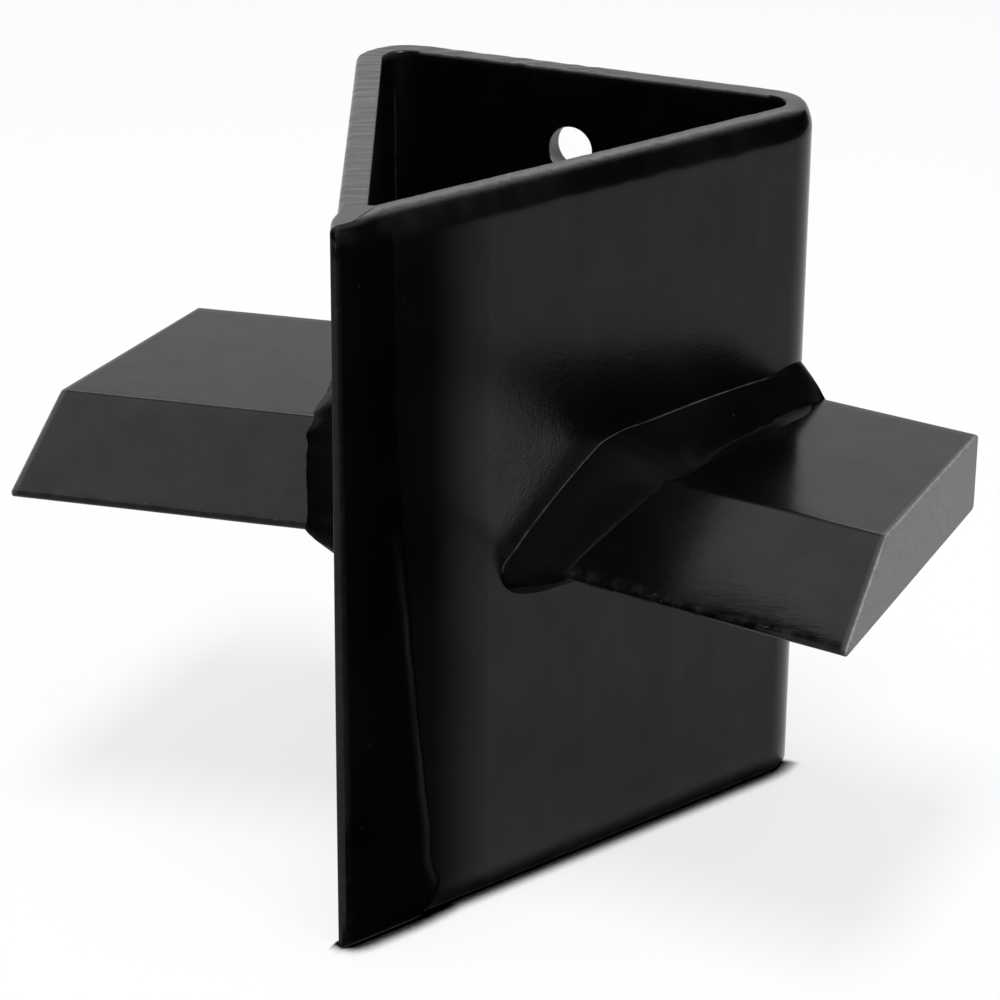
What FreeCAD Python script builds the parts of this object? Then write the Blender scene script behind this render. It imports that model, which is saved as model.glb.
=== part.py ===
"""Slip-on four-way log splitter wedge: a bent plate sleeve with two welded wing blades.

Frame: +Z up the sleeve, nose edge towards -Y, back wall towards +Y, wings along X.
The origin is the centre of the bounding box in plan, on the bottom face.
Lengths are in millimetres and angles in degrees.
"""
import FreeCAD, Part
import os

import Sketcher

Vector = FreeCAD.Vector
Rotation = FreeCAD.Rotation

doc = FreeCAD.newDocument("splitter_wedge")

# ---------------------------------------------------------------- driving dimensions

DIMENSIONS = {
    # sleeve: one plate with two press-brake bends, its ends meeting at the nose
    "sleeve_height": 170.0,
    "sleeve_depth": 139.6,        # sharp nose corner to the back wall's outer face
    "half_angle": 25.1,           # half of the nose's included angle
    "plate_thickness": 6.35,
    "bend_inner": 6.35,           # inside bend radius, one plate thickness
    "rim_rounding": 1.1,          # top rim edges, dressed after flame cutting
    "root_gap": 0.6,              # between the plate ends inside the nose
    # bolt hole through the back wall
    "hole_diameter": 11.1,
    "hole_height": 150.0,
    "hole_offset": -5.0,          # along X from the middle of the back wall
    # nose weld, built up proud of the plate and dressed to a blunt edge
    "nose_proud": 1.4,
    "nose_flat": 2.0,
    "cap_width_top": 14.6,        # along each side plate, from the sharp corner
    "cap_width_bottom": 22.5,
    "cap_slope": 2.5,
    # wings: flat bar with one bevel, swept forward, tips cut square to the nose
    "half_span": 104.4,
    "bar_thickness": 19.05,
    "wing_bottom": 78.8,
    "sweep_angle": 9.45,
    "edge_reach": 49.6,           # cutting edge from the nose corner, at mid-span
    "ridge_reach": 73.6,          # top of the bevel, likewise
    "back_reach": 140.8,          # back face of the bar, likewise
    "edge_land": 1.6,             # blunt height left on the cutting edge
    "back_rounding": 1.8,
    # weld runs round each wing's root: legs on the side plate
    "front_run": 4.6,             # past the cutting edge towards the nose
    "ridge_leg": 5.0,             # above the wing where the bevel ends
    "top_leg": 8.0,               # above the wing's top face, further back
    "under_leg": 7.6,             # below the wing
    # and legs on the wing, measured square to the side plate
    "edge_toe": 12.0,             # out along the cutting edge
    "ridge_toe": 17.0,            # out along the top of the bevel
    "middle_toe": 9.4,            # out on the top face, halfway back
    "back_toe": 3.6,              # out along the top back edge
    "under_toe": 7.6,             # out on the underside
    "back_leg": 6.6,              # out along the bar's back face
    "back_wrap": 80.0,            # how far the back run wraps the bend, in degrees
}

sheet = doc.addObject("Spreadsheet::Sheet", "Dims")
for row, (alias, value) in enumerate(DIMENSIONS.items(), start=1):
    sheet.set(f"A{row}", alias)
    sheet.set(f"B{row}", str(value))
    sheet.setAlias(f"B{row}", alias)
doc.recompute()


def worked_out(expression):
    """Value of an expression on the sheet, as a plain number."""
    return float(sheet.evalExpression(expression))


# lengths that follow from the driving dimensions
PLATE_END = "(Dims.plate_thickness / tan(Dims.half_angle) + Dims.root_gap / 2 / sin(Dims.half_angle))"
BEND_OUTER = "(Dims.bend_inner + Dims.plate_thickness)"
NOSE_Y = "((Dims.nose_flat / 2 * cos(Dims.half_angle) - Dims.nose_proud) / sin(Dims.half_angle))"
MID_DEPTH = f"((Dims.sleeve_depth + {NOSE_Y}) / 2)"
WING_TOP = "(Dims.wing_bottom + Dims.bar_thickness)"

# ---------------------------------------------------------------- sketch helpers


def new_body(label):
    """Body for one sub-part, moved so that the row's origin is at mid-depth."""
    body = doc.addObject("PartDesign::Body", label)
    body.Label = label
    body.setExpression(".Placement.Base.y", "-" + MID_DEPTH)
    return body


def new_sketch(body, role, name, lift=None):
    """Sketch on one of the body's own origin planes, lifted along its normal if asked."""
    plane = next(f for f in body.Origin.OriginFeatures if f.Role == role)
    sketch = body.newObject("Sketcher::SketchObject", name)
    sketch.AttachmentSupport = (plane, [""])
    sketch.MapMode = "FlatFace"
    if lift:
        sketch.setExpression(".AttachmentOffset.Base.z", lift)
    return sketch


def pin_point(sketch, geometry, point, across, up):
    """Fix a sketch point by its two expressions, measured from the sketch's origin."""
    for kind, expression in (("DistanceX", across), ("DistanceY", up)):
        value = worked_out(expression)
        index = sketch.addConstraint(Sketcher.Constraint(kind, -1, 1, geometry, point, value))
        sketch.setExpression(f"Constraints[{index}]", expression)


def outline(sketch, corners):
    """Closed outline of straight lines through corners given as expression pairs."""
    places = [Vector(worked_out(across), worked_out(up), 0) for across, up in corners]
    count = len(places)
    for here in range(count):
        sketch.addGeometry(Part.LineSegment(places[here], places[(here + 1) % count]))
    for here in range(count):
        sketch.addConstraint(Sketcher.Constraint("Coincident", here, 2, (here + 1) % count, 1))
    for here, (across, up) in enumerate(corners):
        pin_point(sketch, here, 1, across, up)


def circle(sketch, across, up, radius):
    """Circle placed and sized by expressions."""
    centre = Vector(worked_out(across), worked_out(up), 0)
    sketch.addGeometry(Part.Circle(centre, Vector(0, 0, 1), worked_out(radius)))
    pin_point(sketch, 0, 3, across, up)
    index = sketch.addConstraint(Sketcher.Constraint("Radius", 0, worked_out(radius)))
    sketch.setExpression(f"Constraints[{index}]", radius)


def pad(body, sketch, length, name):
    feature = body.newObject("PartDesign::Pad", name)
    feature.Profile = sketch
    feature.setExpression("Length", length)
    return feature


def cut(body, sketch, name, length=None):
    """Pocket on both sides of the sketch, through everything if no length is given."""
    before = body.Shape.Volume
    feature = body.newObject("PartDesign::Pocket", name)
    feature.Profile = sketch
    feature.SideType = "Symmetric"
    if length:
        feature.Type = "Length"
        feature.setExpression("Length", length)
    else:
        feature.Type = "ThroughAll"
    doc.recompute()
    if not body.Shape.Volume < before - 1.0:
        raise RuntimeError(f"{body.Label}: {name} removes nothing")
    return feature


def round_edges(body, radius, name, wanted):
    """Fillet the edges of the body's tip that the test picks out."""
    tip = body.Tip
    edges = [f"Edge{i}" for i, edge in enumerate(tip.Shape.Edges, start=1) if wanted(edge)]
    if not edges:
        raise RuntimeError(f"{body.Label}: {name} finds no edge")
    feature = body.newObject("PartDesign::Fillet", name)
    feature.Base = (tip, edges)
    feature.setExpression("Radius", radius)
    doc.recompute()
    return feature


def mirrored(corners):
    """Closed outline from its right half: the same corners again on the left, in reverse."""
    return corners + [(f"-({across})", up) for across, up in reversed(corners)]


# ---------------------------------------------------------------- sleeve


def wedge_outline(inset):
    """Sharp-cornered triangle, every side moved inwards by an expression."""
    tip = f"{inset} / sin(Dims.half_angle)"
    back = f"Dims.sleeve_depth - {inset}"
    half_width = f"(({back}) - ({tip})) * tan(Dims.half_angle)"
    return [("0", tip), (half_width, back), (f"-({half_width})", back)]


def upright_edges(depth):
    """Test for the two upright edges at a depth behind the nose corner."""
    def wanted(edge):
        upright = isinstance(edge.Curve, Part.Line) and abs(edge.Curve.Direction.z) > 0.999
        return upright and abs(edge.CenterOfMass.y - depth) < 0.01
    return wanted


def make_sleeve():
    body = new_body("sleeve_plate")
    outer = new_sketch(body, "XY_Plane", "sleeve_outside")
    outline(outer, wedge_outline("0"))
    pad(body, outer, "Dims.sleeve_height", "sleeve_blank")
    doc.recompute()
    outer_depth = worked_out("Dims.sleeve_depth")
    round_edges(body, BEND_OUTER, "outer_bends", upright_edges(outer_depth))

    inner = new_sketch(body, "XY_Plane", "sleeve_inside")
    outline(inner, wedge_outline("Dims.plate_thickness"))
    cut(body, inner, "sleeve_pocket")
    inner_depth = worked_out("Dims.sleeve_depth - Dims.plate_thickness")
    round_edges(body, "Dims.bend_inner", "inner_bends", upright_edges(inner_depth))

    # the plate ends are square cut, which leaves a V groove for the nose weld
    groove = new_sketch(body, "XY_Plane", "nose_groove")
    reach = "Dims.plate_thickness"
    end_x = f"{PLATE_END} * sin(Dims.half_angle) + {reach} * cos(Dims.half_angle)"
    end_y = f"{PLATE_END} * cos(Dims.half_angle) - {reach} * sin(Dims.half_angle)"
    groove_root = f"{PLATE_END} / cos(Dims.half_angle)"
    outline(groove, [("0", groove_root), (end_x, end_y), ("0", f"-2 * {reach}"), (f"-({end_x})", end_y)])
    cut(body, groove, "nose_groove_cut")

    # the XZ plane's normal points at the nose, so the back wall is at a negative lift
    hole = new_sketch(body, "XZ_Plane", "bolt_hole", lift="-Dims.sleeve_depth")
    circle(hole, "Dims.hole_offset", "Dims.hole_height", "Dims.hole_diameter / 2")
    cut(body, hole, "bolt_hole_cut", length="3 * Dims.plate_thickness")

    top = worked_out("Dims.sleeve_height")
    thickness = worked_out("Dims.plate_thickness")

    def on_rim(edge):
        box = edge.BoundBox
        return box.ZMin > top - 0.001 and edge.Length > 1.1 * thickness

    round_edges(body, "Dims.rim_rounding", "rim_edges", on_rim)
    return body


# ---------------------------------------------------------------- nose weld


def nose_section(cap_width):
    """Plan section of the nose weld: groove filling, proud cap on each side, blunt edge."""
    def plan(distance, outwards):
        across = f"({distance}) * sin(Dims.half_angle) + ({outwards}) * cos(Dims.half_angle)"
        up = f"({distance}) * cos(Dims.half_angle) - ({outwards}) * sin(Dims.half_angle)"
        return across, up

    right_half = [
        ("Dims.nose_flat / 2", NOSE_Y),
        plan(f"{cap_width} - Dims.cap_slope", "Dims.nose_proud"),
        plan(cap_width, "0"),
        plan(PLATE_END, "0"),
        plan(PLATE_END, "-Dims.plate_thickness"),
    ]
    return mirrored(right_half)


def make_nose_weld():
    body = new_body("nose_weld")
    bottom = new_sketch(body, "XY_Plane", "nose_bottom")
    outline(bottom, nose_section("Dims.cap_width_bottom"))
    top = new_sketch(body, "XY_Plane", "nose_top", lift="Dims.sleeve_height")
    outline(top, nose_section("Dims.cap_width_top"))
    bead = body.newObject("PartDesign::AdditiveLoft", "nose_bead")
    bead.Profile = bottom
    bead.Sections = [top]
    bead.Ruled = True
    doc.recompute()
    return body


# ---------------------------------------------------------------- wings


def make_wing(label, side):
    """Bevelled bar, swept forward: side is 1 for the right wing and -1 for the left."""
    body = new_body(label)
    section = new_sketch(body, "YZ_Plane", label + "_section")
    outline(section, [
        ("Dims.edge_reach", "Dims.wing_bottom"),
        ("Dims.back_reach", "Dims.wing_bottom"),
        ("Dims.back_reach", WING_TOP),
        ("Dims.ridge_reach", WING_TOP),
        ("Dims.edge_reach", "Dims.wing_bottom + Dims.edge_land"),
    ])
    bar = pad(body, section, "Dims.half_span", label + "_bar")
    bar.UseCustomVector = True
    bar.AlongSketchNormal = True
    bar.Direction = Vector(side, -worked_out("tan(Dims.sweep_angle)"), 0)
    doc.recompute()

    # the root is cut to lie flat on the side plate
    root = new_sketch(body, "XY_Plane", label + "_root")
    behind = "(Dims.sleeve_depth + 20)"
    half_width = f"{behind} * tan(Dims.half_angle)"
    outline(root, [("0", "0"), (half_width, behind), (f"-({half_width})", behind)])
    cut(body, root, label + "_root_cut")

    bottom = worked_out("Dims.wing_bottom")
    back = worked_out("Dims.back_reach")
    slope = worked_out("tan(Dims.sweep_angle)")

    def on_back_bottom(edge):
        middle = edge.CenterOfMass
        on_back = abs(middle.y - back + slope * abs(middle.x)) < 0.01
        return on_back and abs(middle.z - bottom) < 0.01

    round_edges(body, "Dims.back_rounding", label + "_back_edge", on_back_bottom)
    return body


# ---------------------------------------------------------------- weld runs at the wing roots


def bar_place(reach, out, height, side):
    """Point on a line of the bar, a distance out from the side plate's outer face.

    The line is named by its reach behind the nose corner at mid-span.
    """
    across = worked_out(
        f"({out} + ({reach}) * sin(Dims.half_angle))"
        " / (cos(Dims.half_angle) + sin(Dims.half_angle) * tan(Dims.sweep_angle))"
    )
    back = worked_out(reach) - across * worked_out("tan(Dims.sweep_angle)")
    return Vector(side * across, back, worked_out(height))


def plate_place(beside, ahead, height, side):
    """Point on the side plate's outer face, a distance nearer the nose than another."""
    along = Vector(side * worked_out("sin(Dims.half_angle)"), worked_out("cos(Dims.half_angle)"), 0)
    place = beside - along * worked_out(ahead)
    place.z = worked_out(height)
    return place


def solid_of(faces):
    """Solid from flat faces, each a list of corners in order."""
    shell = Part.Shell([Part.Face(Part.makePolygon(face + face[:1])) for face in faces])
    solid = Part.Solid(shell)
    if solid.Volume < 0:
        solid.reverse()
    return solid


def new_weld(label, shape):
    weld = doc.addObject("Part::Feature", label)
    weld.Label = label
    weld.Shape = shape
    weld.setExpression(".Placement.Base.y", "-" + MID_DEPTH)
    return weld


def make_upper_weld(label, side):
    """Run over the bevel and the top face, wide at the ridge and narrow at the back."""
    bottom = "Dims.wing_bottom"
    land = "Dims.wing_bottom + Dims.edge_land"
    middle = "(Dims.ridge_reach + Dims.back_reach) / 2"
    edge_root = bar_place("Dims.edge_reach", "0", bottom, side)
    land_root = bar_place("Dims.edge_reach", "0", land, side)
    ridge_root = bar_place("Dims.ridge_reach", "0", WING_TOP, side)
    middle_root = bar_place(middle, "0", WING_TOP, side)
    back_root = bar_place("Dims.back_reach", "0", WING_TOP, side)
    edge_toe = bar_place("Dims.edge_reach", "Dims.edge_toe", bottom, side)
    land_toe = bar_place("Dims.edge_reach", "Dims.edge_toe", land, side)
    ridge_toe = bar_place("Dims.ridge_reach", "Dims.ridge_toe", WING_TOP, side)
    middle_toe = bar_place(middle, "Dims.middle_toe", WING_TOP, side)
    back_toe = bar_place("Dims.back_reach", "Dims.back_toe", WING_TOP, side)
    front_end = plate_place(edge_root, "Dims.front_run", bottom, side)
    ridge_leg = plate_place(ridge_root, "0", WING_TOP + " + Dims.ridge_leg", side)
    middle_leg = plate_place(middle_root, "0", WING_TOP + " + Dims.top_leg", side)
    back_leg = plate_place(back_root, "0", WING_TOP + " + Dims.top_leg", side)
    return new_weld(label, solid_of([
        [front_end, ridge_leg, middle_leg, back_leg, back_root, ridge_root, land_root, edge_root],
        [edge_root, land_root, land_toe, edge_toe],
        [land_root, ridge_root, ridge_toe, land_toe],
        [ridge_root, back_root, back_toe, middle_toe, ridge_toe],
        [front_end, edge_root, edge_toe],
        [front_end, edge_toe, land_toe],
        [front_end, land_toe, ridge_toe],
        [front_end, ridge_toe, ridge_leg],
        [ridge_leg, ridge_toe, middle_toe],
        [ridge_leg, middle_toe, middle_leg],
        [middle_leg, middle_toe, back_toe],
        [middle_leg, back_toe, back_leg],
        [back_leg, back_toe, back_root],
    ]))


def make_under_weld(label, side):
    """Run along the underside, its front end wrapping the cutting edge."""
    bottom = "Dims.wing_bottom"
    leg_height = "Dims.wing_bottom - Dims.under_leg"
    edge_root = bar_place("Dims.edge_reach", "0", bottom, side)
    back_root = bar_place("Dims.back_reach", "0", bottom, side)
    edge_toe = bar_place("Dims.edge_reach", "Dims.edge_toe", bottom, side)
    front_toe = bar_place("Dims.edge_reach + Dims.edge_toe", "Dims.under_toe", bottom, side)
    back_toe = bar_place("Dims.back_reach", "Dims.under_toe", bottom, side)
    front_end = plate_place(edge_root, "Dims.front_run", bottom, side)
    front_low = plate_place(edge_root, "Dims.front_run / 2", f"{bottom} - 0.7 * Dims.under_leg", side)
    front_leg = plate_place(edge_root, "-Dims.under_leg", leg_height, side)
    back_leg = plate_place(back_root, "0", leg_height, side)
    return new_weld(label, solid_of([
        [front_end, front_low, front_leg, back_leg, back_root],
        [front_end, edge_toe, front_toe, back_toe, back_root],
        [front_end, front_low, edge_toe],
        [front_low, front_leg, edge_toe],
        [front_leg, front_toe, edge_toe],
        [front_leg, back_leg, back_toe, front_toe],
        [back_root, back_leg, back_toe],
    ]))


def make_back_weld(label, side):
    """Upright run behind the bar, filling the gap where the side plate bends away."""
    low = worked_out("Dims.wing_bottom - Dims.under_leg")
    high = worked_out(f"{WING_TOP} + Dims.top_leg")
    radius = worked_out(BEND_OUTER)
    outwards = Vector(side * worked_out("cos(Dims.half_angle)"), -worked_out("sin(Dims.half_angle)"), 0)
    centre = Vector(0, worked_out(f"Dims.sleeve_depth - {BEND_OUTER}"), low)
    centre.x = side * worked_out(
        f"(Dims.sleeve_depth - {BEND_OUTER}) * tan(Dims.half_angle) - {BEND_OUTER} / cos(Dims.half_angle)"
    )
    bend_start = centre + outwards * radius
    back_root = bar_place("Dims.back_reach", "0", "0", side)
    back_toe = bar_place("Dims.back_reach", "Dims.back_leg", "0", side)
    back_root.z = low
    back_toe.z = low
    turn = Rotation(Vector(0, 0, side), worked_out("Dims.back_wrap"))
    wrap_end = centre + turn.multVec(outwards) * radius
    corners = [bend_start, back_root, back_toe, wrap_end, centre]
    blank = Part.Face(Part.makePolygon(corners + corners[:1])).extrude(Vector(0, 0, high - low))
    bend = Part.makeCylinder(radius, high - low, centre)
    return new_weld(label, blank.cut(bend).Solids[0])


# ---------------------------------------------------------------- assembly and export

pieces = [make_sleeve(), make_nose_weld()]
for name, hand in (("right", 1), ("left", -1)):
    pieces.append(make_wing(f"{name}_wing", hand))
    pieces.append(make_upper_weld(f"{name}_upper_weld", hand))
    pieces.append(make_under_weld(f"{name}_under_weld", hand))
    pieces.append(make_back_weld(f"{name}_back_weld", hand))
doc.recompute()

for item in doc.Objects:
    if "Invalid" in item.State or "Error" in item.State:
        raise RuntimeError(f"{item.Label} is in state {item.State}")
for piece in pieces:
    shape = piece.Shape
    if shape.isNull() or not shape.isValid() or len(shape.Solids) != 1:
        raise RuntimeError(f"{piece.Label} has no valid solid")

os.makedirs("parts", exist_ok=True)
for piece in pieces:
    piece.Shape.exportStep(f"parts/{piece.Label}.step")
    print(f"{piece.Label:18s} {piece.Shape.Volume / 1000:8.2f} cm3")
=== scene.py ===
"""Looks of the slip-on four-way log splitter wedge: gloss black paint over plate, bar and weld.

Every shape below is worked out in millimetres in the row frame and turned into metres at the end.
A place against a side plate is given as (along, out, height): along the plate's outer face from
the sharp nose corner, out square to that face, and height above the floor.
"""
import math

import bmesh
import bpy
import numpy as np
from mathutils import Matrix, Vector, noise


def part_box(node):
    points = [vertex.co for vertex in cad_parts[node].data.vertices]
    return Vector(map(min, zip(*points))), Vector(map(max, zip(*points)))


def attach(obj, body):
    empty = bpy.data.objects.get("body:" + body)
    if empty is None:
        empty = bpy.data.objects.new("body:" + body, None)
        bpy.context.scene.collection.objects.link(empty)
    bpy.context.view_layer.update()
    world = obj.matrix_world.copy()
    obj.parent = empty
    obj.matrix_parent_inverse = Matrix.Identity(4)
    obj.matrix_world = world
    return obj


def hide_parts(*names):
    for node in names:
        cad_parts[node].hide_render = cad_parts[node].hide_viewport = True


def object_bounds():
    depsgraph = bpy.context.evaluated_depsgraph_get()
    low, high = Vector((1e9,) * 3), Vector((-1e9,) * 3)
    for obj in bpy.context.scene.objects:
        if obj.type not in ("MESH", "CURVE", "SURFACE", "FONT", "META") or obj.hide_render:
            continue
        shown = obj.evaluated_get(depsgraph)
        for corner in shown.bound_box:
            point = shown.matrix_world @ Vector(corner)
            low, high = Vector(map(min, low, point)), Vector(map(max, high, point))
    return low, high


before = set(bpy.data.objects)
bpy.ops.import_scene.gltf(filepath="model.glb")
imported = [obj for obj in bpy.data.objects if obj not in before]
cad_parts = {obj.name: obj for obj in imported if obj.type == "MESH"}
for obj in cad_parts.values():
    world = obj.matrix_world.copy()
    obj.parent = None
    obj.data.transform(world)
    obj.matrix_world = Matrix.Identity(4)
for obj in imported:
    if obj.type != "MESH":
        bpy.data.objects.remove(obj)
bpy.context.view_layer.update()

MM = 0.001

# ---------------------------------------------------------------- driving sizes, in millimetres

HALF_ANGLE = math.radians(25.1)
DEPTH = 139.6                  # sharp nose corner to the back wall's outer face
PLATE = 6.35
BEND_OUTER = 12.7
HOLE_RADIUS = 5.55
HOLE_X = -5.0
HOLE_HEIGHT = 150.0
ROOT_GAP = 0.6                 # between the plate's two ends, inside the nose
NOSE_PROUD = 1.4               # thickness of the nose weld's cap on the side plates
NOSE_FLAT = 2.0                # width of the blunt splitting edge
EDGE_REACH = 49.6              # the wings' lines, measured behind the nose corner at mid-span
RIDGE_REACH = 73.6
BACK_REACH = 140.8
EDGE_LAND = 1.6                # upright face left along the cutting edge
WING_BOTTOM = 78.8
SWEEP = math.tan(math.radians(9.45))

# the rest follows from these and from the frame
SIN = math.sin(HALF_ANGLE)
COS = math.cos(HALF_ANGLE)
sleeve_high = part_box("sleeve_plate")[1]
wing_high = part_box("right_wing")[1]
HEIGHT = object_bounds()[1].z / MM
MID_DEPTH = DEPTH - sleeve_high.y / MM     # the frame's origin, behind the sharp nose corner
WING_TOP = wing_high.z / MM
HALF_SPAN = wing_high.x / MM
PLATE_END = PLATE * COS / SIN + ROOT_GAP / 2 / SIN     # along: the side plate's end in the nose
BEND_TURN = math.pi / 2 + HALF_ANGLE
BEND_START = DEPTH / COS - BEND_OUTER * math.tan(BEND_TURN / 2)
BEND_END = BEND_START + BEND_OUTER * BEND_TURN
HALF_BACK = BEND_START * SIN - BEND_OUTER * COS     # half the flat part of the back wall

# ---------------------------------------------------------------- helpers: numbers


def smooth_step(value, low, high):
    """0 up to low, 1 from high on, and smooth between."""
    part = np.clip((np.asarray(value, float) - low) / (high - low), 0.0, 1.0)
    return part * part * (3.0 - 2.0 * part)


def ripple_noise(places, size, seed):
    """Smooth noise from -1 to 1 at each place, with lumps of about that size."""
    shift = Vector((seed * 17.3, seed * 5.1, seed * 9.7))
    return np.array([noise.noise(Vector(place) / size + shift) for place in places])


def side_point(side, along, out, height):
    """Row-frame place from (along, out, height) against the right (1) or left (-1) side plate."""
    along, out, height = np.broadcast_arrays(along, out, height)
    across = side * (along * SIN + out * COS)
    back = along * COS - out * SIN - MID_DEPTH
    return np.stack([across, back, height], axis=-1)


def skin_point(side, along, sink, height):
    """Place a little under the plate's outer skin, which runs along the side and round the bend."""
    along, sink, height, side = np.broadcast_arrays(along, sink, height, side)
    turn = np.clip((along - BEND_START) / BEND_OUTER, 0.0, BEND_TURN)
    past = np.maximum(along - BEND_END, 0.0)
    flat = np.minimum(along, BEND_START)
    reach = flat + (BEND_OUTER - sink) * np.sin(turn)
    out = (BEND_OUTER - sink) * np.cos(turn) - BEND_OUTER
    across = (reach * SIN + out * COS) - past
    back = reach * COS - out * SIN - MID_DEPTH
    return np.stack([side * across, back, height], axis=-1)


def side_place(places):
    """(along, out) of row-frame places against the side plate on their own side."""
    across, reach = np.abs(places[:, 0]), places[:, 1] + MID_DEPTH
    return across * SIN + reach * COS, across * COS - reach * SIN


def bar_point(side, reach, out, height):
    """Place on a line of the wing's bar, a distance out from the side plate."""
    reach, out, height = np.broadcast_arrays(reach, out, height)
    across = (out + reach * SIN) / (COS + SIN * SWEEP)
    return np.stack([side * across, reach - across * SWEEP - MID_DEPTH, height], axis=-1)


def bar_reach(places):
    """How far back row-frame places lie along the wing's section."""
    return places[:, 1] + MID_DEPTH + np.abs(places[:, 0]) * SWEEP


def flowing(knots, times, wanted):
    """Smooth curve through rows of numbers (Hermite, with slopes from uneven steps)."""
    knots = np.asarray(knots, float)
    step = np.diff(times)[:, None]
    slope = np.diff(knots, axis=0) / step
    middle = (slope[1:] * step[:-1] + slope[:-1] * step[1:]) / (step[1:] + step[:-1])
    tangent = np.vstack([slope[:1], middle, slope[-1:]])
    cell = np.clip(np.searchsorted(times, wanted, side="right") - 1, 0, len(times) - 2)
    width = step[cell]
    part = ((wanted - times[cell])[:, None]) / width
    square, cube = part ** 2, part ** 3
    return (
        (2 * cube - 3 * square + 1) * knots[cell] + (cube - 2 * square + part) * width * tangent[cell]
        + (3 * square - 2 * cube) * knots[cell + 1] + (cube - square) * width * tangent[cell + 1]
    )


def rounded_outline(corners, radii, spacing, arc_steps=6):
    """Closed outline with arcs at its corners: points and outward normals."""
    corners = np.asarray(corners, float)
    points, normals = [], []
    count = len(corners)
    arcs = []
    for here in range(count):
        corner, radius = corners[here], radii[here]
        to_last = corners[here - 1] - corner
        to_next = corners[(here + 1) % count] - corner
        to_last /= np.linalg.norm(to_last)
        to_next /= np.linalg.norm(to_next)
        opening = math.acos(np.clip(to_last @ to_next, -1, 1))
        bisector = (to_last + to_next) / np.linalg.norm(to_last + to_next)
        centre = corner + bisector * radius / math.sin(opening / 2)
        start = corner + to_last * radius / math.tan(opening / 2) - centre
        end = corner + to_next * radius / math.tan(opening / 2) - centre
        first = math.atan2(start[1], start[0])
        turn = math.atan2(end[1], end[0]) - first
        turn = (turn + math.pi) % (2 * math.pi) - math.pi
        angles = first + turn * np.linspace(0, 1, arc_steps + 1)
        rays = np.stack([np.cos(angles), np.sin(angles)], axis=1)
        arcs.append((centre + rays * radius, rays))
    for here in range(count):
        arc, rays = arcs[here]
        points.extend(arc)
        normals.extend(rays)
        following = arcs[(here + 1) % count][0][0]
        gap = following - arc[-1]
        pieces = max(int(np.linalg.norm(gap) / spacing), 1)
        square = np.array([gap[1], -gap[0]]) / np.linalg.norm(gap)
        square *= np.sign(square @ rays[-1])
        for part in range(1, pieces):
            points.append(arc[-1] + gap * part / pieces)
            normals.append(square)
    return np.array(points), np.array(normals)


# ---------------------------------------------------------------- helpers: meshes

SHARP = math.radians(38)       # edges with a larger angle than this are shaded as corners


def new_piece(name, rings, closed=False):
    """Closed skin through rings of points: (stations, ring points, xyz) in millimetres."""
    stations, count = rings.shape[:2]
    mesh = bpy.data.meshes.new(name)
    work = bmesh.new()
    verts = [[work.verts.new(point * MM) for point in ring] for ring in rings]
    spans = stations if closed else stations - 1
    for here in range(spans):
        ring, following = verts[here], verts[(here + 1) % stations]
        for j in range(count):
            k = (j + 1) % count
            work.faces.new((ring[j], ring[k], following[k], following[j]))
    if not closed:
        caps = [work.faces.new(reversed(verts[0])), work.faces.new(verts[-1])]
        bmesh.ops.triangulate(work, faces=caps, ngon_method="EAR_CLIP")
    bmesh.ops.recalc_face_normals(work, faces=work.faces)
    work.to_mesh(mesh)
    work.free()
    piece = bpy.data.objects.new(name, mesh)
    bpy.context.scene.collection.objects.link(piece)
    return piece


def finish_piece(piece, node, material, masks):
    """Shading, point masks, material and the frame's bookkeeping for one visible piece."""
    mesh = piece.data
    work = bmesh.new()
    work.from_mesh(mesh)
    for face in work.faces:
        face.smooth = True
    for edge in work.edges:
        edge.smooth = len(edge.link_faces) == 2 and edge.calc_face_angle(0.0) < SHARP
    work.to_mesh(mesh)
    work.free()
    places = np.empty(len(mesh.vertices) * 3)
    mesh.vertices.foreach_get("co", places)
    places = places.reshape(-1, 3) / MM
    for mask_name, rule in masks.items():
        layer = mesh.attributes.new(mask_name, "FLOAT", "POINT")
        layer.data.foreach_set("value", np.asarray(rule(places), np.float32))
    mesh.materials.clear()
    mesh.materials.append(material)
    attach(piece, "root")
    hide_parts(node)


def all_of(value):
    """Mask that is the same all over a piece."""
    return lambda places: np.full(len(places), value)


# ---------------------------------------------------------------- materials


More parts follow.
